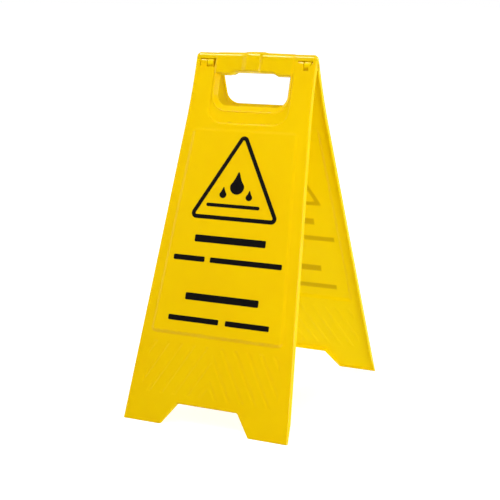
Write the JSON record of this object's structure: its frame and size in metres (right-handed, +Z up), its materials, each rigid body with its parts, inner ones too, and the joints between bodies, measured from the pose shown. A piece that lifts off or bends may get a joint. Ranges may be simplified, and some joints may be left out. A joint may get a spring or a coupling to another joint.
{
  "type": "wet floor sign",
  "caption": "Folding A-frame wet floor sign: tapered moulded panels with a hand opening, hinged at the carrying grip, standing on notched feet.",
  "frame": {"origin": "centre of the standing footprint, on the floor, midway between the feet", "axes": "+Z up; X along the hinge and the grip; -Y is the front panel's side and +Y the rear panel's"},
  "size_m": [0.3, 0.4186, 0.6011],
  "materials": {
    "front_panel": "satin moulded polypropylene",
    "rear_panel": "satin moulded polypropylene",
    "hinge_pin_left": "satin moulded nylon",
    "hinge_pin_right": "satin moulded nylon",
    "graphics_ink": "black screen-printed ink"
  },
  "bodies": {
    "front": {"front_panel": "front_panel", "hinge_pin_right": "hinge_pin_right"},
    "rear": {"rear_panel": "rear_panel", "hinge_pin_left": "hinge_pin_left"}
  },
  "joints": [
    {"name": "fold", "type": "hinge", "parent": "front", "child": "rear", "pos_m": [0, 0, 0.5805], "axis": [1, 0, 0], "range_deg": [-37.4, 0]}
  ]
}
